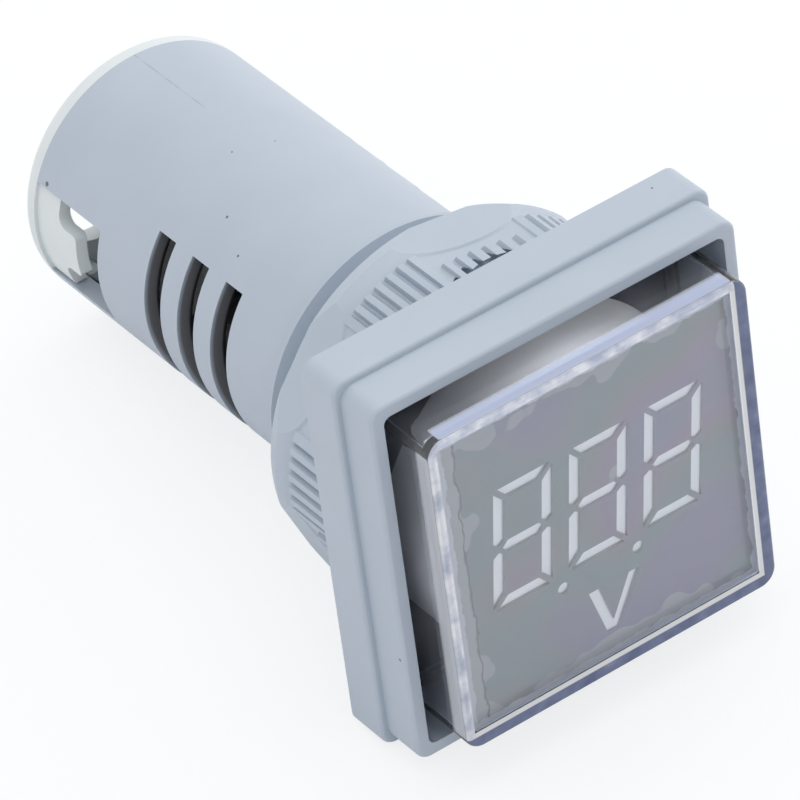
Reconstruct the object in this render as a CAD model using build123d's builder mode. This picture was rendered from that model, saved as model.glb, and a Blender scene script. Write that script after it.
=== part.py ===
from build123d import *
import math
import os

# Digital panel meter for a round 22 mm panel hole: a square bezel with a clear lens on a round barrel.
# The barrel's axis is Y. The bezel's rear face, which seats on the panel, lies at y = 0.
# The display looks towards -Y, the terminals towards +Y, and +Z is up. All sizes are in millimetres.

os.makedirs("parts", exist_ok=True)

# Bezel, moulded in one piece with the barrel
flange_side = 30.0
flange_thickness = 3.4
step_inset = 0.5
step_thickness = 3.25
bezel_corner = 1.1
bezel_edge_round = 0.3
bezel_rim = 1.0
recess_corner = 0.6
floor_thickness = 1.2

# Barrel and threaded neck
barrel_radius = 9.75
barrel_wall = 1.25
barrel_length = 41.6
thread_root_step = 0.3
thread_depth = 0.85
thread_pitch = 1.5
thread_crest_width = 0.35
thread_root_width = 0.3
neck_length = 12.6
first_ridge = 1.55

# Vent slots, the same on both sides
slot_count = 3
slot_width = 1.9
slot_pitch = 3.85
slot_half_height = 6.1
first_slot_from_rear = 13.3

# Wire entries, open to the rear end
wire_entry_half_height = 3.75
wire_entry_length = 7.7

# Clear lens, a box open at the back with a foot that centres it in the recess
lens_side_gap = 0.85
lens_corner = 1.3
lens_wall = 0.85
lens_front = 1.3
lens_stand_out = 3.35
lens_edge_round = 0.3
lens_foot_thickness = 0.9
lens_foot_gap = 0.1

# Printed mask behind the lens
mask_thickness = 0.2
mask_front_gap = 0.05
mask_edge_gap = 0.15

# Figures of the display, drawn in a square field that is scaled to the mask
figure_field = 23.3
digit_count = 3
digit_width = 4.75
digit_height = 9.4
digit_pitch = 6.03
digit_rise = 1.3
digit_slant = 7.0
segment_width = 0.9
segment_gap = 0.26
segment_end_gap = 0.22
segment_end_depth = 0.3
point_radius = 0.45
point_drop = 5.75
point_shift = 3.25
unit_top = -6.0
unit_height = 3.9
unit_half_width = 2.05
unit_stroke = 0.85
unit_foot = 0.9
unit_shift = 0.4

# Display drum and its board
reflector_side_gap = 0.25
reflector_to_mask = 0.05
diffuser_gap = 0.03
diffuser_depth = 3.0
led_side = 0.62
point_led_side = 0.5
led_height = 0.5
display_board_gap = 0.4
board_thickness = 1.2

# Header from the display board to the main board
pin_count = 6
pin_pitch_share = 0.147
pin_side = 0.5
header_start = 1.6
header_block_length = 2.2
header_block_height = 2.0

# Main board, on edge along the barrel
main_board_edge_gap = 0.47
main_board_top = -3.2
main_board_start = 1.4
board_in_block = 2.2

# Chip and resistors, placed from the front end of the main board
chip_length = 5.0
chip_width = 4.0
chip_height = 1.5
chip_leg_rows = 4
chip_leg_pitch = 1.27
chip_leg_reach = 0.9
chip_to_header = 0.7
resistor_count = 3
resistor_radius = 0.95
resistor_length = 4.4
resistor_pitch = 2.4
resistor_lead_radius = 0.28
resistor_lead_span = 7.2
resistor_to_chip = 0.35

# Larger components, which share the bay between the resistors and the terminal block
# Their lengths are shares of the bay, their widths shares of the main board's width
can_radius_share = 0.2
can_place_share = 0.277
can_side_share = 0.265
can_top_gap = 1.3
can_groove_depth = 0.25
film_capacitor_width_share = 0.397
film_capacitor_side_share = 0.22
film_capacitor_length_share = 0.843
film_capacitor_place_share = 0.458
film_capacitor_top_gap = 1.1
rectifier_side = 4.6
rectifier_height = 2.4
rectifier_length_share = 0.246
rectifier_place_share = 0.647

# Terminals, with their sizes across the barrel as shares of the bore's radius
block_length = 4.0
block_radius_gap = 0.12
terminal_depth = 7.8
terminal_side_share = 0.553
plate_thickness = 0.8
plate_share = 0.612
plate_leg_share = 0.235
plate_leg_gap = 0.05
clamp_share = 0.588
clamp_thickness = 0.9
seat_gap = 0.02
screw_share = 0.1765
screw_running_gap = 0.06
screw_head_share = 0.2824
screw_head_height = 1.7
screw_reach = 3.4
screw_slot_width = 0.6
screw_slot_depth = 0.7

# Rear cover
cover_thickness = 1.45
cover_edge_round = 0.9
spigot_gap = 0.12
spigot_wall = 0.9
spigot_length = 1.6
spigot_break_gap = 0.65
driver_hole_share = 0.3765
barrier_half_width = 0.6
barrier_length = 3.2
skirt_inset = 0.25
skirt_gap = 0.1
skirt_length = 2.6
tongue_half_width = 1.65
tongue_length = 4.7
tongue_round = 0.35
skirt_round = 0.9

# Panel gasket and nut
gasket_thickness = 1.0
gasket_width = 1.5
gasket_gap = 0.15
nut_length = 7.5
nut_turn = -8.0
nut_wall = 2.2
nut_corner_rise = 0.8
nut_bore_gap = 0.12
nut_rear_chamfer = 0.6
nut_rear_chamfer_length = 1.3
nut_ring_inset = 0.7
nut_groove_depth = 0.13
nut_groove_corner_depth = 0.35
collar_run_out = 3.75
collar_bulge = 0.25
collar_chamfer_gap = 0.1
nut_relief_rise = 0.65
nut_relief_length = 2.4
rib_crest_width = 0.45
rib_flank_spread = 0.67
long_rib_count = 7
long_rib_pitch_angle = 4.0
rib_rise = 0.9
long_rib_length = 5.4
short_rib_count = 6
short_rib_pitch_angle = 5.0
short_rib_length = 3.3
short_rib_rise = 0.2
short_rib_tip_rise = 0.55
rib_end_slope = 0.45
hex_sides = 6

# Worked out from the sizes above
step_side = flange_side - 2 * step_inset
step_front = -(flange_thickness + step_thickness)
recess_side = step_side - 2 * bezel_rim
floor_front = -floor_thickness
lens_side = recess_side - 2 * lens_side_gap
lens_front_face = step_front - lens_stand_out
lens_inner_face = lens_front_face + lens_front
lens_inner_side = lens_side - 2 * lens_wall
mask_side = lens_inner_side - 2 * mask_edge_gap
mask_rear = lens_inner_face + mask_front_gap + mask_thickness
figure_scale = mask_side / figure_field
reflector_radius = lens_inner_side / 2 - reflector_side_gap
reflector_front = mask_rear + reflector_to_mask
display_board_side = lens_inner_side - 2 * display_board_gap
display_board_front = floor_front - board_thickness
bore_radius = barrel_radius - barrel_wall
thread_root = barrel_radius + thread_root_step
thread_radius = thread_root + thread_depth
cover_rear = barrel_length + cover_thickness
block_rear = barrel_length - terminal_depth
block_front = block_rear - block_length
main_board_bottom = main_board_top - board_thickness
main_board_width = 2 * (math.sqrt(bore_radius**2 - main_board_bottom**2) - main_board_edge_gap)
main_board_end = block_front + board_in_block
header_end = header_start + header_block_length
chip_middle = header_end + chip_to_header + chip_leg_reach + chip_width / 2
resistor_reach = (resistor_count - 1) / 2 * resistor_pitch + resistor_radius
resistor_middle = chip_middle + chip_width / 2 + chip_leg_reach + resistor_to_chip + resistor_reach
bay_start = resistor_middle + resistor_reach
bay_length = block_front - bay_start
plate_rear = block_rear + plate_thickness
clamp_front = plate_rear + seat_gap
clamp_rear = clamp_front + clamp_thickness
head_front = clamp_rear + seat_gap
head_rear = head_front + screw_head_height
terminal_side = terminal_side_share * bore_radius
plate_side = plate_share * bore_radius
plate_leg_width = plate_leg_share * bore_radius
clamp_side = clamp_share * bore_radius
screw_radius = screw_share * bore_radius
screw_head_radius = screw_head_share * bore_radius
driver_hole_radius = driver_hole_share * bore_radius
spigot_break_half = wire_entry_half_height + spigot_break_gap
skirt_radius = barrel_radius - skirt_inset
gasket_radius = thread_radius + gasket_width
nut_front = gasket_thickness
nut_rear = nut_front + nut_length
nut_apothem = thread_radius + nut_wall
nut_corner_radius = nut_apothem + nut_corner_rise
nut_ring_radius = nut_apothem - nut_ring_inset
groove_apothem = nut_apothem - nut_groove_depth
groove_corner_radius = nut_corner_radius - nut_groove_corner_depth
rib_radius = nut_apothem + rib_rise
short_rib_apothem = nut_apothem + short_rib_rise
short_rib_tip = nut_apothem + short_rib_tip_rise
collar_start = nut_front + collar_run_out
collar_end = nut_rear - nut_rear_chamfer_length - collar_chamfer_gap
collar_middle = (collar_start + collar_end) / 2
collar_middle_radius = (groove_apothem + nut_corner_radius) / 2 + collar_bulge
slant = math.tan(math.radians(digit_slant))


def across(y):
    """A plane square to the barrel at y, with X to the right and Z up. It extrudes towards the front."""
    return Plane.XZ.offset(-y)


def finish(piece, name):
    """Names a finished piece and writes it."""
    piece.label = name
    export_step(piece, f"parts/{name}.step")


def leaned(x, z):
    """A point of an upright figure, leaned over like the printed digits."""
    return (x + slant * z, z)


def digit_outlines():
    """The seven segments of one upright digit, each as a closed outline about the digit's centre."""
    half_w, half_h = digit_width / 2, digit_height / 2
    inner_w, inner_h = half_w - segment_width, half_h - segment_width
    middle = half_w - segment_width / 2
    top = [
        (-half_w + segment_gap, half_h),
        (half_w - segment_gap, half_h),
        (inner_w - segment_gap, inner_h),
        (-inner_w + segment_gap, inner_h),
    ]
    upper_right = [
        (half_w, half_h - segment_gap),
        (inner_w, inner_h - segment_gap),
        (inner_w, segment_end_gap + segment_end_depth),
        (middle, segment_end_gap),
        (half_w, segment_end_gap + segment_end_depth),
    ]
    reach = middle - segment_gap
    bar = [
        (-reach, 0),
        (-reach + segment_width / 2, segment_width / 2),
        (reach - segment_width / 2, segment_width / 2),
        (reach, 0),
        (reach - segment_width / 2, -segment_width / 2),
        (-reach + segment_width / 2, -segment_width / 2),
    ]
    outlines = [bar]
    for up in (1, -1):
        outlines.append([(x, up * z) for x, z in top])
        for side in (1, -1):
            outlines.append([(side * x, up * z) for x, z in upper_right])
    return outlines


def digit_centres():
    """Where the middle of each digit lies, from left to right."""
    first = -(digit_count - 1) / 2 * digit_pitch
    return [first + index * digit_pitch for index in range(digit_count)]


def unit_outline():
    """The unit letter below the digits, two strokes that meet in a blunt foot."""
    bottom = unit_top - unit_height
    half_foot = unit_foot / 2
    inner_foot = bottom + unit_stroke
    return [
        (unit_shift - unit_half_width, unit_top),
        (unit_shift - unit_half_width + unit_stroke, unit_top),
        (unit_shift, inner_foot),
        (unit_shift + unit_half_width - unit_stroke, unit_top),
        (unit_shift + unit_half_width, unit_top),
        (unit_shift + half_foot, bottom),
        (unit_shift - half_foot, bottom),
    ]


def unit_led_x(side):
    """The middle of one stroke of the unit letter, half way down."""
    top_middle = side * (unit_half_width - unit_stroke / 2)
    return unit_shift - slant * unit_height / 2 + top_middle / 2 + side * unit_stroke / 6


def figure_outlines():
    """Every straight-edged figure of the display, in its place on the mask."""
    placed = []
    for centre in digit_centres():
        for outline in digit_outlines():
            placed.append([(centre + leaned(x, z)[0], digit_rise + z) for x, z in outline])
    placed.append([(x + slant * (z - unit_top), z) for x, z in unit_outline()])
    return [[(x * figure_scale, z * figure_scale) for x, z in outline] for outline in placed]


def point_places():
    """The decimal points, one after each digit but the last."""
    places = [(centre + point_shift - slant * point_drop, digit_rise - point_drop) for centre in digit_centres()[:-1]]
    return [(x * figure_scale, z * figure_scale) for x, z in places]


def draw_figures(shrink=0.0):
    """Draws all figures into the sketch that is open, drawn in by a clearance if one is given."""
    for outline in figure_outlines():
        with BuildSketch(mode=Mode.PRIVATE) as figure:
            Polygon(*outline, align=None)
            if shrink:
                offset(amount=-shrink, kind=Kind.INTERSECTION)
        add(figure.sketch)
    with Locations(*point_places()):
        Circle(point_radius * figure_scale - shrink)


# Housing: bezel, neck and barrel in one moulding
with BuildPart() as body_housing:
    with BuildSketch(across(0)):
        RectangleRounded(flange_side, flange_side, bezel_corner)
    extrude(amount=flange_thickness)
    flange_front_edges = body_housing.faces().sort_by(Axis.Y)[0].edges()
    fillet(flange_front_edges, bezel_edge_round)
    with BuildSketch(across(-flange_thickness)):
        RectangleRounded(step_side, step_side, bezel_corner)
    extrude(amount=step_thickness)
    step_front_edges = body_housing.faces().sort_by(Axis.Y)[0].edges()
    fillet(step_front_edges, bezel_edge_round)
    # Neck with thread ridges, and the plain barrel behind it
    with BuildSketch(Plane.XY):
        with BuildLine():
            Polyline(
                (0, 0),
                (thread_root, 0),
                (thread_root, neck_length - thread_depth),
                (barrel_radius, neck_length),
                (barrel_radius, barrel_length),
                (0, barrel_length),
                close=True,
            )
        make_face()
    revolve(axis=Axis.Y)
    with BuildSketch(Plane.XY):
        half_crest = thread_crest_width / 2
        half_base = (thread_pitch - thread_root_width) / 2
        ridge = first_ridge
        while ridge + half_crest <= neck_length:
            with BuildLine():
                Polyline(
                    (thread_root - half_crest, ridge - half_base),
                    (thread_root, ridge - half_base),
                    (thread_radius, ridge - half_crest),
                    (thread_radius, ridge + half_crest),
                    (thread_root, ridge + half_base),
                    (thread_root - half_crest, ridge + half_base),
                    close=True,
                )
            make_face()
            ridge += thread_pitch
    revolve(axis=Axis.Y)
    # Display recess from the front, and the bore right through to the rear end
    with BuildSketch(across(floor_front)):
        RectangleRounded(recess_side, recess_side, recess_corner)
    extrude(amount=-step_front - floor_thickness, mode=Mode.SUBTRACT)
    with BuildSketch(across(barrel_length)):
        Circle(bore_radius)
    extrude(amount=barrel_length + floor_thickness, mode=Mode.SUBTRACT)
    # Vent slots through both side walls
    for index in range(slot_count):
        slot_rear = barrel_length - first_slot_from_rear - index * slot_pitch
        with BuildSketch(across(slot_rear)):
            with Locations((-barrel_radius, 0), (barrel_radius, 0)):
                Rectangle(barrel_radius, 2 * slot_half_height)
        extrude(amount=slot_width, mode=Mode.SUBTRACT)
    # Wire entries, open to the rear end
    with BuildSketch(across(barrel_length)):
        with Locations((-barrel_radius, 0), (barrel_radius, 0)):
            Rectangle(barrel_radius, 2 * wire_entry_half_height)
    extrude(amount=wire_entry_length, mode=Mode.SUBTRACT)
finish(body_housing.part, "body_housing")

# Clear lens, a deep box that stands out of the bezel
with BuildPart() as lens_cap:
    lens_depth = floor_front - lens_front_face
    with BuildSketch(across(floor_front)):
        RectangleRounded(lens_side, lens_side, lens_corner)
    extrude(amount=lens_depth)
    fillet(lens_cap.faces().sort_by(Axis.Y)[0].edges(), lens_edge_round)
    with BuildSketch(across(floor_front)):
        RectangleRounded(recess_side - 2 * lens_foot_gap, recess_side - 2 * lens_foot_gap, recess_corner)
    extrude(amount=lens_foot_thickness)
    with BuildSketch(across(floor_front)):
        RectangleRounded(lens_inner_side, lens_inner_side, lens_corner - lens_wall)
    extrude(amount=lens_depth - lens_front, mode=Mode.SUBTRACT)
finish(lens_cap.part, "lens_cap")

# Printed mask, a thin sheet with a window for each figure
with BuildPart() as display_mask:
    with BuildSketch(across(mask_rear)):
        Rectangle(mask_side, mask_side)
    extrude(amount=mask_thickness)
    with BuildSketch(across(mask_rear)):
        draw_figures()
    extrude(amount=mask_thickness, mode=Mode.SUBTRACT)
finish(display_mask.part, "display_mask")

# White drum with a well for each figure
with BuildPart() as display_reflector:
    with BuildSketch(across(display_board_front)):
        Circle(reflector_radius)
    extrude(amount=display_board_front - reflector_front)
    with BuildSketch(across(display_board_front)):
        draw_figures()
    extrude(amount=display_board_front - reflector_front, mode=Mode.SUBTRACT)
finish(display_reflector.part, "display_reflector")

# Cast diffusers that fill the front of the wells
with BuildPart() as segment_diffusers:
    with BuildSketch(across(reflector_front + diffuser_depth)):
        draw_figures(diffuser_gap)
    extrude(amount=diffuser_depth)
finish(segment_diffusers.part, "segment_diffusers")

# One light chip in the foot of each well
with BuildPart() as segment_leds:
    with BuildSketch(across(display_board_front)):
        for outline in figure_outlines()[:-1]:
            mid_x = sum(x for x, z in outline) / len(outline)
            mid_z = sum(z for x, z in outline) / len(outline)
            with Locations((mid_x, mid_z)):
                Rectangle(led_side * figure_scale, led_side * figure_scale)
        small_led_side = point_led_side * figure_scale
        with Locations(*point_places()):
            Rectangle(small_led_side, small_led_side)
        for side in (-1, 1):
            with Locations((unit_led_x(side) * figure_scale, (unit_top - unit_height / 2) * figure_scale)):
                Rectangle(small_led_side, small_led_side)
    extrude(amount=led_height)
finish(segment_leds.part, "segment_leds")

# Square board that carries the drum and lies on the recess floor
with BuildPart() as display_board:
    with BuildSketch(across(floor_front)):
        Rectangle(display_board_side, display_board_side)
    extrude(amount=board_thickness)
finish(display_board.part, "display_board")

# Main board along the barrel
with BuildPart() as main_board:
    with BuildSketch(Plane.XY.offset(main_board_bottom)):
        with Locations((0, (main_board_start + main_board_end) / 2)):
            Rectangle(main_board_width, main_board_end - main_board_start)
    extrude(amount=board_thickness)
finish(main_board.part, "main_board")

# Pin header between the two boards
with BuildPart() as display_header:
    pin_pitch = pin_pitch_share * main_board_width
    with BuildSketch(Plane.XY.offset(main_board_top)):
        with Locations((0, header_start + header_block_length / 2)):
            Rectangle(pin_count * pin_pitch, header_block_length)
    extrude(amount=header_block_height)
    with BuildSketch(across(header_end)):
        with Locations((0, main_board_top + header_block_height / 2)):
            with GridLocations(pin_pitch, pin_pitch, pin_count, 1):
                Rectangle(pin_side, pin_side)
    extrude(amount=header_end - floor_front)
finish(display_header.part, "display_header")

# Measuring chip with its two rows of legs
with BuildPart() as controller_chip:
    with BuildSketch(Plane.XY.offset(main_board_top)):
        with Locations((0, chip_middle)):
            Rectangle(chip_length, chip_width)
    extrude(amount=chip_height)
    chamfer(controller_chip.faces().sort_by(Axis.Z)[-1].edges(), chip_height / 6)
    with BuildSketch(Plane.XY.offset(main_board_top)):
        with Locations((0, chip_middle)):
            with GridLocations(chip_leg_pitch, 1, chip_leg_rows, 1):
                Rectangle(chip_leg_pitch / 3, chip_width + 2 * chip_leg_reach)
    extrude(amount=chip_height / 5)
finish(controller_chip.part, "controller_chip")

# Divider resistors, side by side across the board
with BuildPart() as divider_resistors:
    resistor_axis = Plane.YZ.offset(-resistor_lead_span / 2)
    with BuildSketch(resistor_axis):
        with Locations((resistor_middle, main_board_top + resistor_radius)):
            with GridLocations(resistor_pitch, 1, resistor_count, 1):
                Circle(resistor_lead_radius)
    extrude(amount=resistor_lead_span)
    with BuildSketch(resistor_axis.offset((resistor_lead_span - resistor_length) / 2)):
        with Locations((resistor_middle, main_board_top + resistor_radius)):
            with GridLocations(resistor_pitch, 1, resistor_count, 1):
                Circle(resistor_radius)
    extrude(amount=resistor_length)
finish(divider_resistors.part, "divider_resistors")

# Smoothing capacitor, a can that stands on the board
with BuildPart() as smoothing_capacitor:
    can_place = Plane.XY.offset(main_board_top)
    can_radius = can_radius_share * bay_length
    can_centre = (-can_side_share * main_board_width, bay_start + can_place_share * bay_length)
    with BuildSketch(can_place):
        with Locations(can_centre):
            Circle(can_radius)
    extrude(amount=bore_radius - can_top_gap)
    fillet(smoothing_capacitor.faces().sort_by(Axis.Z)[-1].edges(), can_groove_depth)
    with BuildSketch(can_place.offset(can_radius / 2)):
        with Locations(can_centre):
            Circle(can_radius)
            Circle(can_radius - can_groove_depth, mode=Mode.SUBTRACT)
    extrude(amount=2 * can_groove_depth, mode=Mode.SUBTRACT)
finish(smoothing_capacitor.part, "smoothing_capacitor")

# Dropper capacitor, a boxed film type
with BuildPart() as dropper_capacitor:
    film_capacitor_width = film_capacitor_width_share * main_board_width
    film_capacitor_side = film_capacitor_side_share * main_board_width
    with BuildSketch(Plane.XY.offset(main_board_top)):
        with Locations((film_capacitor_side, bay_start + film_capacitor_place_share * bay_length)):
            Rectangle(film_capacitor_width, film_capacitor_length_share * bay_length)
    extrude(amount=bore_radius - film_capacitor_top_gap)
    upright = dropper_capacitor.edges().filter_by(Axis.Z)
    fillet(upright, film_capacitor_width / 10)
finish(dropper_capacitor.part, "dropper_capacitor")

# Bridge rectifier
with BuildPart() as bridge_rectifier:
    with BuildSketch(Plane.XY.offset(main_board_top)):
        with Locations((can_centre[0], bay_start + rectifier_place_share * bay_length)):
            Rectangle(rectifier_side, rectifier_length_share * bay_length)
    extrude(amount=rectifier_height)
    chamfer(bridge_rectifier.faces().sort_by(Axis.Z)[-1].edges(), rectifier_height / 8)
finish(bridge_rectifier.part, "bridge_rectifier")

# Terminal block, a white plug in the bore that holds the board's end and both terminals
with BuildPart() as terminal_block:
    with BuildSketch(across(block_rear)):
        Circle(bore_radius - block_radius_gap)
    extrude(amount=block_length)
    with BuildSketch(across(main_board_end)):
        with Locations((0, main_board_top - board_thickness / 2)):
            Rectangle(main_board_width + 2 * plate_leg_gap, board_thickness + 2 * plate_leg_gap)
    extrude(amount=board_in_block, mode=Mode.SUBTRACT)
    with BuildSketch(across(block_rear)):
        with Locations((-terminal_side, 0), (terminal_side, 0)):
            Circle(screw_radius + screw_running_gap)
            with Locations((0, plate_side / 2 - plate_thickness / 2)):
                Rectangle(plate_leg_width + 2 * plate_leg_gap, plate_thickness + 2 * plate_leg_gap)
    extrude(amount=block_length, mode=Mode.SUBTRACT)
    with BuildSketch(across(block_rear + barrier_length)):
        Rectangle(2 * barrier_half_width, 2 * wire_entry_half_height)
    extrude(amount=barrier_length)
finish(terminal_block.part, "terminal_block")

for side, hand in ((-1, "left"), (1, "right")):
    terminal_x = side * terminal_side
    # Brass terminal plate with a leg through the block
    with BuildPart() as terminal_plate:
        with BuildSketch(across(plate_rear)):
            with Locations((terminal_x, 0)):
                Rectangle(plate_side, plate_side)
                Circle(screw_radius + screw_running_gap, mode=Mode.SUBTRACT)
        extrude(amount=plate_thickness)
        with BuildSketch(across(block_rear)):
            with Locations((terminal_x, plate_side / 2 - plate_thickness / 2)):
                Rectangle(plate_leg_width, plate_thickness)
        extrude(amount=block_length)
    finish(terminal_plate.part, f"terminal_plate_{hand}")
    # Square clamp washer that presses the wire
    with BuildPart() as terminal_clamp:
        with BuildSketch(across(clamp_rear)):
            with Locations((terminal_x, 0)):
                Rectangle(clamp_side, clamp_side)
                Circle(screw_radius + screw_running_gap, mode=Mode.SUBTRACT)
        extrude(amount=clamp_thickness)
    finish(terminal_clamp.part, f"terminal_clamp_{hand}")
    # Slotted screw
    with BuildPart() as terminal_screw:
        with BuildSketch(across(head_rear)):
            with Locations((terminal_x, 0)):
                Circle(screw_head_radius)
        extrude(amount=screw_head_height)
        fillet(terminal_screw.faces().sort_by(Axis.Y)[-1].edges(), screw_head_height / 3)
        with BuildSketch(across(head_front)):
            with Locations((terminal_x, 0)):
                Circle(screw_radius)
        extrude(amount=screw_reach)
        chamfer(terminal_screw.faces().sort_by(Axis.Y)[0].edges(), screw_radius / 5)
        with BuildSketch(across(head_rear)):
            with Locations((terminal_x, 0)):
                Rectangle(screw_slot_width, 2 * screw_head_radius)
        extrude(amount=screw_slot_depth, mode=Mode.SUBTRACT)
    finish(terminal_screw.part, f"terminal_screw_{hand}")

# Curved skirt of the rear cover in each wire entry, narrowed to a tongue over the wire
with BuildPart() as cover_tongues:
    skirt_half = wire_entry_half_height - skirt_gap
    skirt_front = barrel_length - skirt_length
    tongue_front = barrel_length - tongue_length
    with BuildSketch(Plane.YZ.offset(-barrel_radius)):
        with BuildLine():
            Polyline(
                (barrel_length, -skirt_half),
                (skirt_front, -skirt_half),
                (skirt_front, -tongue_half_width),
                (tongue_front, -tongue_half_width),
                (tongue_front, tongue_half_width),
                (skirt_front, tongue_half_width),
                (skirt_front, skirt_half),
                (barrel_length, skirt_half),
                close=True,
            )
        make_face()
        tongue_ends = vertices().group_by(Axis.X)[0]
        fillet(tongue_ends, tongue_round)
        skirt_feet = vertices().group_by(Axis.X)[-2].sort_by(Axis.Y)[1:3]
        fillet(skirt_feet, skirt_round)
    extrude(amount=2 * barrel_radius)
    with BuildSketch(across(barrel_length)):
        Circle(skirt_radius)
        Circle(bore_radius + skirt_gap, mode=Mode.SUBTRACT)
    extrude(amount=tongue_length, mode=Mode.INTERSECT)

# Rear cover: a disc with a spigot, two driver holes and the two skirts
with BuildPart() as rear_cover:
    with BuildSketch(across(cover_rear)):
        Circle(barrel_radius)
    extrude(amount=cover_thickness)
    fillet(rear_cover.faces().sort_by(Axis.Y)[-1].edges(), cover_edge_round)
    with BuildSketch(across(barrel_length)):
        Circle(bore_radius - spigot_gap)
        Circle(bore_radius - spigot_gap - spigot_wall, mode=Mode.SUBTRACT)
        Rectangle(2 * barrel_radius, 2 * spigot_break_half, mode=Mode.SUBTRACT)
    extrude(amount=spigot_length)
    with BuildSketch(across(barrel_length)):
        Rectangle(2 * barrier_half_width, 2 * (bore_radius - spigot_gap - spigot_wall))
    extrude(amount=spigot_length)
    add(cover_tongues.part)
    with BuildSketch(across(cover_rear)):
        with Locations((-terminal_side, 0), (terminal_side, 0)):
            Circle(driver_hole_radius)
    extrude(amount=cover_thickness, mode=Mode.SUBTRACT)
finish(rear_cover.part, "rear_cover")

# Rubber gasket between the bezel and the panel
with BuildPart() as panel_gasket:
    with BuildSketch(across(gasket_thickness)):
        Circle(gasket_radius)
        Circle(thread_radius + gasket_gap, mode=Mode.SUBTRACT)
    extrude(amount=gasket_thickness)
finish(panel_gasket.part, "panel_gasket")

# Panel nut: a hexagonal collar behind a ring of ribs


def rib_profile(tip_radius):
    """One rib seen along the barrel, from inside the nut out past its crest."""
    half_crest_width = rib_crest_width / 2
    half_base_width = half_crest_width + rib_flank_spread * (tip_radius - nut_ring_radius) / 2
    return [
        (nut_ring_radius, -half_base_width),
        (tip_radius, -half_crest_width),
        (tip_radius, half_crest_width),
        (nut_ring_radius, half_base_width),
    ]


def draw_ribs(tip_radius, count, pitch_angle, middle_angle):
    """Draws the ribs of one kind around the whole nut."""
    for sector in range(hex_sides):
        first = nut_turn + sector * 360 / hex_sides + middle_angle - (count - 1) / 2 * pitch_angle
        with PolarLocations(0, count, first, (count - 1) * pitch_angle, endpoint=True):
            Polygon(*rib_profile(tip_radius), align=None)


def slope_rib_ends(length):
    """Cuts the rear ends of the ribs of the open part to a slope."""
    rib_end = nut_front + length
    with BuildSketch(Plane.XY, mode=Mode.PRIVATE) as slope:
        with BuildLine():
            Polyline(
                (0, nut_front),
                (rib_radius, nut_front),
                (rib_radius, rib_end - 2 * rib_end_slope),
                (nut_ring_radius, rib_end),
                (0, rib_end),
                close=True,
            )
        make_face()
    revolve(slope.sketch, axis=Axis.Y, mode=Mode.INTERSECT)


with BuildPart() as long_ribs:
    with BuildSketch(across(nut_front + long_rib_length)):
        draw_ribs(rib_radius, long_rib_count, long_rib_pitch_angle, 0)
        RegularPolygon(nut_apothem, hex_sides, major_radius=False, rotation=nut_turn, mode=Mode.INTERSECT)
    extrude(amount=long_rib_length)
    slope_rib_ends(long_rib_length)

with BuildPart() as short_ribs:
    with BuildSketch(across(nut_front + short_rib_length)):
        draw_ribs(short_rib_tip, short_rib_count, short_rib_pitch_angle, 180 / hex_sides)
        RegularPolygon(short_rib_apothem, hex_sides, major_radius=False, rotation=nut_turn, mode=Mode.INTERSECT)
    extrude(amount=short_rib_length)
    slope_rib_ends(short_rib_length)

with BuildPart() as nut_floor:
    with BuildSketch(across(collar_end)):
        RegularPolygon(groove_apothem, hex_sides, major_radius=False, rotation=nut_turn)
        Circle(groove_corner_radius, mode=Mode.INTERSECT)
    extrude(amount=collar_end - nut_front)

with BuildPart() as panel_nut:
    with BuildSketch(across(nut_rear)):
        RegularPolygon(nut_apothem, hex_sides, major_radius=False, rotation=nut_turn)
    extrude(amount=nut_length)
    # Round corners, chamfered at the rear, and a soft arc where each flat runs out towards the ribs
    with BuildSketch(Plane.XY):
        with BuildLine():
            Polyline((groove_apothem, collar_start), (0, collar_start), (0, nut_rear))
            Line((0, nut_rear), (nut_corner_radius - nut_rear_chamfer, nut_rear))
            Line(
                (nut_corner_radius - nut_rear_chamfer, nut_rear),
                (nut_corner_radius, nut_rear - nut_rear_chamfer_length),
            )
            Line((nut_corner_radius, nut_rear - nut_rear_chamfer_length), (nut_corner_radius, collar_end))
            ThreePointArc(
                (nut_corner_radius, collar_end),
                (collar_middle_radius, collar_middle),
                (groove_apothem, collar_start),
            )
        make_face()
    revolve(axis=Axis.Y, mode=Mode.INTERSECT)
    add(nut_floor.part)
    add(long_ribs.part)
    add(short_ribs.part)
    # Relief in the front face, which leaves a ring that presses on the gasket
    with BuildSketch(Plane.XY):
        with BuildLine():
            Polyline(
                (nut_ring_radius, nut_front),
                (nut_apothem + nut_relief_rise, nut_front),
                (groove_apothem, nut_front + nut_relief_length),
                (nut_ring_radius, nut_front + nut_relief_length),
                close=True,
            )
        make_face()
    revolve(axis=Axis.Y, mode=Mode.SUBTRACT)
    with BuildSketch(across(nut_rear)):
        Circle(thread_radius + nut_bore_gap)
    extrude(amount=nut_length, mode=Mode.SUBTRACT)
finish(panel_nut.part, "panel_nut")
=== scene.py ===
# %% [markdown]
# # Digital panel meter
# The CAD model comes in as a fixed frame. This notebook gives it materials, a floor, soft light
# and the camera of the photograph. All lengths are in metres. The barrel's axis is Y, the display
# looks towards -Y and +Z is up.

import math

import bpy
from mathutils import Matrix, Vector


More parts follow.
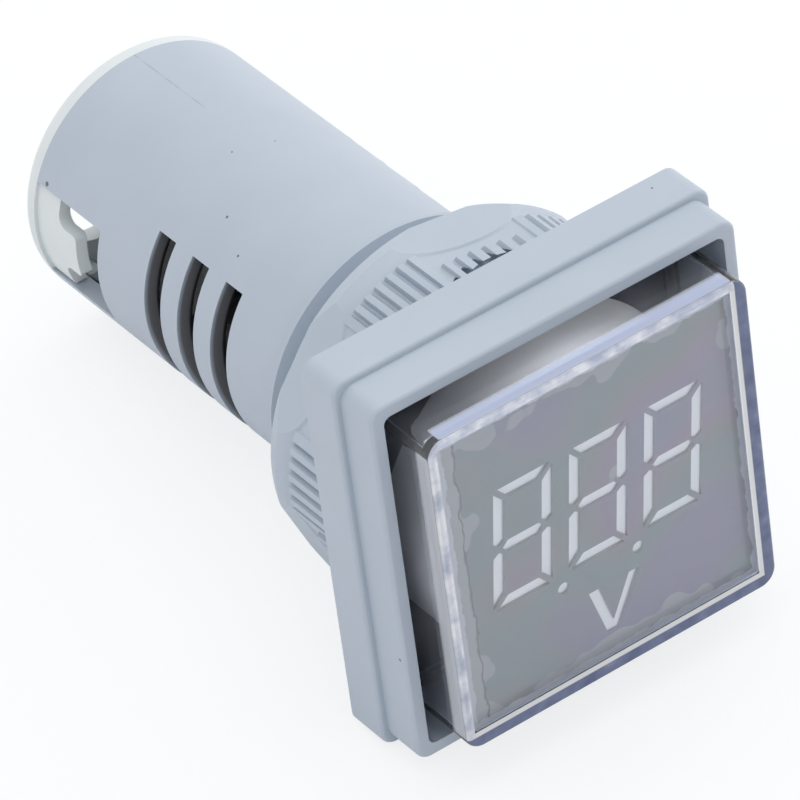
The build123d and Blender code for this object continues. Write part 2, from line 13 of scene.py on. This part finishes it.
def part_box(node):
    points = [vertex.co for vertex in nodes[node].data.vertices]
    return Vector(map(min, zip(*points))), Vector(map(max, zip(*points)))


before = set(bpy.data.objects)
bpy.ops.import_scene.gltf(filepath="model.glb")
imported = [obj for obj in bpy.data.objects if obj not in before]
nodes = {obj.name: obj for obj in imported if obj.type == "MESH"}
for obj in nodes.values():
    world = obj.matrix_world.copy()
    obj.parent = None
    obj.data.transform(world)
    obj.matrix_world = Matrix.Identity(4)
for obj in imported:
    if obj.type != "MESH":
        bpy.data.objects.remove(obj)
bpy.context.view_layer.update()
bpy.ops.object.select_all(action="DESELECT")
scene = bpy.context.scene
scene.view_settings.view_transform = "Standard"

# %% [markdown]
# ## Materials
# Every material is procedural. It starts with a principled shader that has plain values on its own
# sockets, and goes on the CAD nodes in one slot.

# %% Start a material and put it on nodes


def new_material(name, color, roughness, metallic=0.0, **values):
    """Makes a principled material with constant values."""
    material = bpy.data.materials.new(name)
    material.use_nodes = True
    shader = shader_of(material)
    shader.inputs["Base Color"].default_value = (*color, 1.0)
    shader.inputs["Roughness"].default_value = roughness
    shader.inputs["Metallic"].default_value = metallic
    for socket, value in values.items():
        shader.inputs[socket.replace("_", " ")].default_value = value
    return material


def shader_of(material):
    """Gives the material's principled shader."""
    return material.node_tree.nodes["Principled BSDF"]


def paint(material, *names):
    """Puts one material on CAD nodes."""
    for name in names:
        mesh = nodes[name].data
        mesh.materials.clear()
        mesh.materials.append(material)
        for face in mesh.polygons:
            face.material_index = 0
    print(material.name, names)


print("materials start from one principled shader each")

# %% [markdown]
# These helpers take and give sockets. They work on values and colours, and `fade` is the one that
# finds a place: it goes from 0 at the first number to 1 at the second.

# %% Join values and colours


def join(output, target):
    """Links an output socket to an input socket."""
    output.id_data.links.new(output, target)


def fade(value, start, end, low=0.0, high=1.0):
    """Turns a value into one that goes from low at start to high at end."""
    node = value.id_data.nodes.new("ShaderNodeMapRange")
    node.inputs["From Min"].default_value = start
    node.inputs["From Max"].default_value = end
    node.inputs["To Min"].default_value = low
    node.inputs["To Max"].default_value = high
    join(value, node.inputs["Value"])
    return node.outputs[0]


def maths(operation, first, second=0.0):
    """Works on a value together with a second value or a number."""
    node = first.id_data.nodes.new("ShaderNodeMath")
    node.operation = operation
    join(first, node.inputs[0])
    if isinstance(second, float):
        node.inputs[1].default_value = second
    else:
        join(second, node.inputs[1])
    return node.outputs[0]


def all_of(*values):
    """Multiplies places, which leaves the part that they share."""
    product = values[0]
    for value in values[1:]:
        product = maths("MULTIPLY", product, value)
    return product


def any_of(*values):
    """Gives the largest of several values."""
    largest = values[0]
    for value in values[1:]:
        largest = maths("MAXIMUM", largest, value)
    return largest


def blend(factor, first, second):
    """Mixes two colours, each a constant or a socket."""
    node = factor.id_data.nodes.new("ShaderNodeMix")
    node.data_type = "RGBA"
    color_inputs = (node.inputs[6], node.inputs[7])
    join(factor, node.inputs["Factor"])
    for target, color in zip(color_inputs, (first, second)):
        if isinstance(color, tuple):
            target.default_value = (*color, 1.0)
        else:
            join(color, target)
    return node.outputs[2]


def ramp(value, stops):
    """Turns a value into colours at the given stops."""
    node = value.id_data.nodes.new("ShaderNodeValToRGB")
    elements = node.color_ramp.elements
    elements[0].position, elements[0].color = stops[0][0], (*stops[0][1], 1.0)
    elements[1].position, elements[1].color = stops[-1][0], (*stops[-1][1], 1.0)
    for stop, color in stops[1:-1]:
        elements.new(stop).color = (*color, 1.0)
    join(value, node.inputs[0])
    return node.outputs[0]


print("values and colours join through sockets")

# %% [markdown]
# All patterns stand in object coordinates, so they stay on a piece when it moves.

# %% Noise, bump and position


def object_point(material):
    """Gives the position in object coordinates."""
    return material.node_tree.nodes.new("ShaderNodeTexCoord").outputs["Object"]


def noise(material, scale, detail=3.0):
    """Gives noise in object coordinates."""
    texture = material.node_tree.nodes.new("ShaderNodeTexNoise")
    texture.inputs["Scale"].default_value = scale
    texture.inputs["Detail"].default_value = detail
    texture.inputs["Roughness"].default_value = 0.55
    join(object_point(material), texture.inputs["Vector"])
    return texture.outputs[0]


def grain(material, scale, strength):
    """Adds a fine bump to the surface."""
    bump = material.node_tree.nodes.new("ShaderNodeBump")
    bump.inputs["Strength"].default_value = strength
    bump.inputs["Distance"].default_value = 0.00002
    join(noise(material, scale, 4.0), bump.inputs["Height"])
    join(bump.outputs[0], shader_of(material).inputs["Normal"])


def mottle(material, low, high, scale):
    """Lets the base colour drift a little between two tones."""
    color = ramp(noise(material, scale), [(0.3, low), (0.7, high)])
    join(color, shader_of(material).inputs["Base Color"])


def position(material):
    """Gives the position's x, y and z as three values."""
    parts = material.node_tree.nodes.new("ShaderNodeSeparateXYZ")
    join(object_point(material), parts.inputs[0])
    return parts.outputs[0], parts.outputs[1], parts.outputs[2]


def distance_from(material, point, kept=(1.0, 1.0, 1.0)):
    """Gives the distance from a point, along the kept axes only."""
    keep = material.node_tree.nodes.new("ShaderNodeVectorMath")
    keep.operation = "MULTIPLY"
    keep.inputs[1].default_value = kept
    join(object_point(material), keep.inputs[0])
    gap = material.node_tree.nodes.new("ShaderNodeVectorMath")
    gap.operation = "DISTANCE"
    gap.inputs[1].default_value = point
    join(keep.outputs[0], gap.inputs[0])
    return gap.outputs["Value"]


print("patterns stand in object coordinates")

# %% [markdown]
# The grey moulding is plain outside. Hardly any light falls into the barrel, so the walls of the
# slots are darker and the bore is nearly black.

# %% Grey moulding
slot_wall_radii = (0.00971, 0.0094)
bore_radii = (0.0088, 0.00864)
barrel_start = (-0.001, 0.0)
barrel_end = (0.034, 0.030)

grey = new_material("grey_plastic", (0.44, 0.5, 0.58), 0.42)
grey_x, grey_y, grey_z = position(grey)
radius = distance_from(grey, (0.0, 0.0, 0.0), kept=(1.0, 0.0, 1.0))
in_barrel = all_of(fade(grey_y, *barrel_start), fade(grey_y, *barrel_end))
outside = ramp(noise(grey, 180.0), [(0.3, (0.43, 0.49, 0.57)), (0.7, (0.45, 0.51, 0.59))])
slot_walls = all_of(fade(radius, *slot_wall_radii), in_barrel)
walled = blend(slot_walls, outside, (0.158, 0.16, 0.176))
bore = all_of(fade(radius, *bore_radii), in_barrel)
grey_color = blend(bore, walled, (0.015, 0.015, 0.015))
print("grey, with its dark parts", grey.name)

# %% [markdown]
# A broken mould line runs along the top of the barrel's rear part, and a few dark specks and nicks
# lie where the photograph has them. Each speck is its place and its size.

# %% Mould line and specks
seam_half_width = (0.00007, 0.00003)
seam_start = (0.0328, 0.0338)
seam_height = (0.0085, 0.0095)
seam_breaks = (0.34, 0.54)
specks = (
    ((0.00128, 0.02679, 0.00966), 0.00008),
    ((-0.00149, 0.02787, 0.00963), 0.00009),
    ((-0.00501, 0.02369, 0.00836), 0.00013),
    ((-0.00631, 0.02077, 0.00742), 0.00012),
    ((-0.00886, 0.04052, 0.00405), 0.00022),
    ((0.0122, -0.00107, 0.015), 0.0001),
    ((-0.0145, -0.00617, -0.00593), 0.00014),
)

seam = all_of(
    fade(maths("ABSOLUTE", grey_x), *seam_half_width),
    fade(grey_y, *seam_start),
    fade(grey_z, *seam_height),
    fade(noise(grey, 900.0, 1.0), *seam_breaks),
)
grey_color = blend(seam, grey_color, (0.34, 0.39, 0.45))
for point, size in specks:
    near = fade(distance_from(grey, point), size, size * 0.6)
    grey_color = blend(near, grey_color, (0.13, 0.13, 0.15))
join(grey_color, shader_of(grey).inputs["Base Color"])
grain(grey, 9000.0, 0.25)
paint(grey, "body_housing", "panel_nut")

# %% [markdown]
# The rear parts are a cold white. The drum behind the mask is a warmer white, and a small glow on
# its upper part stands in for the light that the clear lens gathers there.

# %% White mouldings
glow_heights = (0.0065, 0.0115)
glow_lean = 0.35

white = new_material("white_plastic", (0.69, 0.73, 0.745), 0.45)
mottle(white, (0.67, 0.72, 0.735), (0.71, 0.75, 0.765), 150.0)
grain(white, 8000.0, 0.2)
paint(white, "rear_cover", "terminal_block")
drum = new_material("drum_white", (0.93, 0.93, 0.92), 0.5, Emission_Strength=0.16)
mottle(drum, (0.91, 0.91, 0.9), (0.95, 0.95, 0.94), 300.0)
drum_x, _, drum_z = position(drum)
height = maths("ADD", maths("MULTIPLY", drum_x, glow_lean), drum_z)
gathered = ramp(fade(height, *glow_heights), [(0.0, (0.05, 0.05, 0.05)), (1.0, (1.0, 0.99, 0.96))])
join(gathered, shader_of(drum).inputs["Emission Color"])
paint(drum, "display_reflector")

# %% [markdown]
# The lens is clear. These places are measured as a square measures them, from the middle of its
# front plate: the plate's sides with a painted glow, a painted highlight line and a painted
# dark-blue reflection band right and below, and a painted edge highlight left and above.

# %% Places on the lens
lens_side_from = (0.01262, 0.01264)
plate_from = (-0.0084, -0.0088)
front_from = (-0.0098, -0.00985)
# where the painted highlight line right and below lies
highlight_line_from = (0.01122, 0.01126)
# where the painted dark-blue reflection band right and below lies
reflection_band_from = (0.0116, 0.01168)
# where the painted edge highlight left and above lies
edge_highlight_from = (0.01196, 0.01206)
# where the left side begins, painted greyer as the lit side
lit_left_side_from = (-0.0124, -0.0126)

clear = new_material(
    "clear_plastic", (0.95, 0.965, 1.0), 0.03, Transmission_Weight=0.97, IOR=1.49
)
lens_x, lens_y, lens_z = position(clear)
from_middle = any_of(maths("ABSOLUTE", lens_x), maths("ABSOLUTE", lens_z))
right_or_low = any_of(lens_x, maths("MULTIPLY", lens_z, -1.0))
left_or_high = any_of(maths("MULTIPLY", lens_x, -1.0), lens_z)
on_front = fade(lens_y, *front_from)
# sides of the front plate, painted with a pale blue glow of picked-up light
glowing_sides = all_of(fade(from_middle, *lens_side_from), fade(lens_y, *plate_from))
# painted highlight line on the front, right and below
painted_highlight_line = all_of(fade(right_or_low, *highlight_line_from), on_front)
# painted dark-blue reflection band on the front, right and below
painted_reflection_band = all_of(fade(right_or_low, *reflection_band_from), on_front)
# painted edge highlight on the front, left and above
painted_edge_highlight = all_of(fade(left_or_high, *edge_highlight_from), on_front)
# left side of the plate, painted greyer because it is lit
lit_left_side = fade(lens_x, *lit_left_side_from)
print("places on the lens", clear.name)

# %% [markdown]
# The highlight lines, the band and the sides take their colours, and let less light through than
# the rest. Both highlight lines are painted highlights, the band is a painted dark-blue
# reflection, and the sides carry the plastic's blue tint together with a painted glow of the light
# they pick up, greyer on the lit left side. A weak absorption makes the thick parts a little blue.

# %% Clear lens
# colours of the painted edge highlight
edge_highlight_stops = [(0.36, (0.5, 0.55, 0.7)), (0.5, (0.7, 0.74, 0.86)), (0.64, (0.92, 0.94, 1.0))]
# colours of the painted dark-blue reflection band
reflection_band_stops = [(0.35, (0.13, 0.16, 0.3)), (0.6, (0.2, 0.24, 0.4)), (0.75, (0.34, 0.38, 0.5))]

# painted highlight line, nearly white
tint = blend(painted_highlight_line, (0.95, 0.965, 1.0), (0.97, 0.98, 1.0))
# painted edge highlight
tint = blend(painted_edge_highlight, tint, ramp(noise(clear, 700.0, 2.0), edge_highlight_stops))
# painted dark-blue reflection band
tint = blend(painted_reflection_band, tint, ramp(noise(clear, 500.0, 2.0), reflection_band_stops))
# the plastic's blue tint with a painted glow, greyer on the lit left side
tint_and_glow = blend(lit_left_side, (0.56, 0.63, 0.84), (0.62, 0.64, 0.7))
tint = blend(glowing_sides, tint, tint_and_glow)
join(tint, shader_of(clear).inputs["Base Color"])
# the painted lines and the painted glowing sides let less light through, so their colours show
see_through = fade(any_of(glowing_sides, painted_highlight_line, painted_edge_highlight), 0.0, 1.0, low=0.97, high=0.3)
join(see_through, shader_of(clear).inputs["Transmission Weight"])
absorption = clear.node_tree.nodes.new("ShaderNodeVolumeAbsorption")
absorption.inputs["Color"].default_value = (0.5, 0.65, 1.0, 1.0)
absorption.inputs["Density"].default_value = 40.0
join(absorption.outputs[0], clear.node_tree.nodes["Material Output"].inputs["Volume"])
paint(clear, "lens_cap")

# %% [markdown]
# The mask film has a faint colour play. Its edge wanders a little, and blots lie mostly beside
# its left, upper and lower edges.

# %% Colour play and places on the mask film
play_stops = [
    (0.32, (0.46, 0.43, 0.55)),
    (0.4, (0.45, 0.465, 0.5)),
    (0.48, (0.405, 0.49, 0.47)),
    (0.55, (0.47, 0.47, 0.46)),
    (0.61, (0.52, 0.43, 0.53)),
    (0.7, (0.42, 0.475, 0.55)),
]
left_band_from = (-0.0085, -0.0107)
top_band_from = (0.0092, 0.011)
low_band_from = (-0.0095, -0.011)
strip_from = (-0.01045, -0.01055)
margin_from = (0.0112, 0.01128)
crease_at = 0.0104
crease_half_width = (0.00009, 0.00003)
wander_reach = 0.0004
blot_levels = (0.73, 0.75)
blot_share = 0.3
dust_levels = (0.72, 0.76)

film = new_material("mask_film", (0.48, 0.48, 0.5), 0.35)
film_x, _, film_z = position(film)
wander = fade(noise(film, 900.0, 2.0), 0.0, 1.0, low=-wander_reach, high=wander_reach)
film_reach = any_of(maths("ABSOLUTE", film_x), maths("ABSOLUTE", film_z))
margin = fade(maths("ADD", film_reach, wander), *margin_from)
wandering_x = maths("ADD", film_x, wander)
strip = fade(wandering_x, *strip_from)
crease_distance = maths("ABSOLUTE", maths("ADD", wandering_x, crease_at))
crease = fade(crease_distance, *crease_half_width)
bands = any_of(
    fade(film_x, *left_band_from), fade(film_z, *top_band_from), fade(film_z, *low_band_from)
)
blot_level = maths("ADD", noise(film, 330.0, 1.2), maths("MULTIPLY", bands, blot_share))
blots = fade(blot_level, *blot_levels)
dust = fade(noise(film, 9000.0, 1.0), *dust_levels)
print("places on the film", film.name)

# %% [markdown]
# Over the colour play come the blots, a pale strip with a dark crease on the left, the bare margin
# and last some dust.

# %% Mask film
film_color = ramp(noise(film, 85.0, 0.6), play_stops)
film_color = blend(blots, film_color, (0.62, 0.63, 0.63))
film_color = blend(strip, film_color, (0.66, 0.67, 0.66))
film_color = blend(crease, film_color, (0.3, 0.3, 0.31))
film_color = blend(margin, film_color, (0.95, 0.96, 0.97))
film_color = blend(dust, film_color, (0.72, 0.74, 0.76))
join(film_color, shader_of(film).inputs["Base Color"])
paint(film, "display_mask")

# %% [markdown]
# The figures glow a little, for the light that falls through the lens onto them. The photograph
# doesn't show them lit.

# %% Figures
pale = new_material("diffuser", (0.95, 0.96, 0.97), 0.35, Emission_Strength=0.21)
shader_of(pale).inputs["Emission Color"].default_value = (0.96, 0.98, 0.96, 1.0)
mottle(pale, (0.94, 0.95, 0.96), (0.97, 0.98, 0.99), 700.0)
paint(pale, "segment_diffusers")

# %% [markdown]
# The other materials only drift between two tones. Each row has the name, the mean colour, both
# tones and the scale of the drift.

# %% Boards and electronics
board_rows = (
    ("led_chip", (0.85, 0.78, 0.4), (0.8, 0.72, 0.35), (0.88, 0.8, 0.45), 2000.0),
    ("board_black", (0.02, 0.025, 0.035), (0.015, 0.02, 0.03), (0.025, 0.03, 0.04), 400.0),
    ("black_compound", (0.035, 0.035, 0.04), (0.03, 0.03, 0.035), (0.045, 0.045, 0.05), 900.0),
    ("resistor_lacquer", (0.62, 0.5, 0.34), (0.58, 0.46, 0.3), (0.65, 0.53, 0.37), 900.0),
    ("can_sleeve", (0.08, 0.09, 0.18), (0.07, 0.08, 0.16), (0.09, 0.1, 0.2), 600.0),
    ("film_box", (0.72, 0.55, 0.12), (0.69, 0.52, 0.1), (0.75, 0.58, 0.15), 500.0),
)
board_roughness = (0.3, 0.3, 0.5, 0.4, 0.35, 0.35)
board_nodes = (
    ("segment_leds",),
    ("display_board", "main_board"),
    ("display_header", "controller_chip", "bridge_rectifier"),
    ("divider_resistors",),
    ("smoothing_capacitor",),
    ("dropper_capacitor",),
)
for row, roughness, names in zip(board_rows, board_roughness, board_nodes):
    name, color, low, high, scale = row
    material = new_material(name, color, roughness)
    mottle(material, low, high, scale)
    paint(material, *names)

# %% [markdown]
# The terminals are brass plates with plated steel clamps and screws, and the gasket is black
# rubber.

# %% Metals and rubber
brass = new_material("brass", (0.76, 0.58, 0.3), 0.3, 1.0)
mottle(brass, (0.72, 0.54, 0.27), (0.79, 0.62, 0.33), 900.0)
paint(brass, "terminal_plate_left", "terminal_plate_right")
steel = new_material("plated_steel", (0.7, 0.71, 0.73), 0.28, 1.0)
mottle(steel, (0.66, 0.67, 0.69), (0.74, 0.75, 0.77), 900.0)
paint(steel, "terminal_clamp_left", "terminal_clamp_right")
paint(steel, "terminal_screw_left", "terminal_screw_right")
rubber = new_material("black_rubber", (0.03, 0.032, 0.036), 0.6)
mottle(rubber, (0.025, 0.027, 0.031), (0.036, 0.038, 0.042), 500.0)
paint(rubber, "panel_gasket")

# %% [markdown]
# ## Stage
# The meter lies on its bezel's lower edge and on the rear end of its barrel, so the floor is a
# wide sheet that touches both. To the camera it is plain white where nothing shades it.

# %% Floor
bezel_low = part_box("body_housing")[0].z
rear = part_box("rear_cover")
tilt = math.atan2(rear[0].z - bezel_low, rear[1].y)
bpy.ops.mesh.primitive_plane_add(size=30.0, location=(0.0, 0.0, 0.0))
floor = bpy.context.object
floor.name = "floor"
floor.rotation_euler = (tilt, 0.0, 0.0)
floor.location = (0.0, 0.0, bezel_low)
print("floor tilt", math.degrees(tilt))

# %% [markdown]
# The camera sees most of the paper as plain white light. Every other ray sees the paper alone, so
# its light on the meter stays as it is, and the shadow stays in view.

# %% Paper on the floor
seen_as_white = 0.78

paper = new_material("floor_paper", (0.9, 0.91, 0.92), 0.8)
mottle(paper, (0.89, 0.9, 0.91), (0.91, 0.92, 0.93), 5.0)
glow = paper.node_tree.nodes.new("ShaderNodeEmission")
glow.inputs["Color"].default_value = (0.985, 0.995, 1.0, 1.0)
glow.inputs["Strength"].default_value = 1.01
ray = paper.node_tree.nodes.new("ShaderNodeLightPath")
seen = paper.node_tree.nodes.new("ShaderNodeMixShader")
join(maths("MULTIPLY", ray.outputs["Is Camera Ray"], seen_as_white), seen.inputs[0])
join(shader_of(paper).outputs[0], seen.inputs[1])
join(glow.outputs[0], seen.inputs[2])
join(seen.outputs[0], paper.node_tree.nodes["Material Output"].inputs["Surface"])
floor.data.materials.append(paper)
print("paper", paper.name)

# %% [markdown]
# Two large square lights and an even world light the meter softly.

# %% Soft light
aim = Vector((0.0, 0.02, 0.0))


def area_light(name, place, size, power):
    """Adds a square area light that looks at the meter."""
    data = bpy.data.lights.new(name, "AREA")
    data.shape = "SQUARE"
    data.size = size
    data.energy = power
    lamp = bpy.data.objects.new(name, data)
    scene.collection.objects.link(lamp)
    lamp.location = place
    lamp.rotation_euler = (aim - Vector(place)).to_track_quat("-Z", "Y").to_euler()


area_light("top", (0.0, 0.05, 0.6), 0.6, 1.1)
area_light("side", (0.6, 0.1, 0.35), 0.45, 1.15)
world = bpy.data.worlds.new("world")
scene.world = world
world.use_nodes = True
background = world.node_tree.nodes["Background"]
background.inputs["Color"].default_value = (1.0, 1.0, 1.0, 1.0)
background.inputs["Strength"].default_value = 0.8

# %% [markdown]
# ## Camera
# Its place and its axes were found by fitting the outlines of the bezel, the lens, the nut and the
# barrel to the photograph.

# %% Camera
camera_data = bpy.data.cameras.new("camera")
camera = bpy.data.objects.new("camera", camera_data)
scene.collection.objects.link(camera)
right = Vector((0.8037, -0.5846, -0.1105)).normalized()
up = Vector((0.4344, 0.4497, 0.7804)).normalized()
back = right.cross(up).normalized()
up = back.cross(right)
turn = Matrix((right, up, back)).transposed()
camera.matrix_world = Matrix.Translation((-0.20421, -0.32578, 0.30515)) @ turn.to_4x4()
camera_data.sensor_width = 36.0
camera_data.lens = 340.8
camera_data.clip_start = 0.01
camera_data.clip_end = 20.0
scene.camera = camera
print("camera", camera.location)

# %% [markdown]
# ## End

# %% Close the scene
print("scene ends")
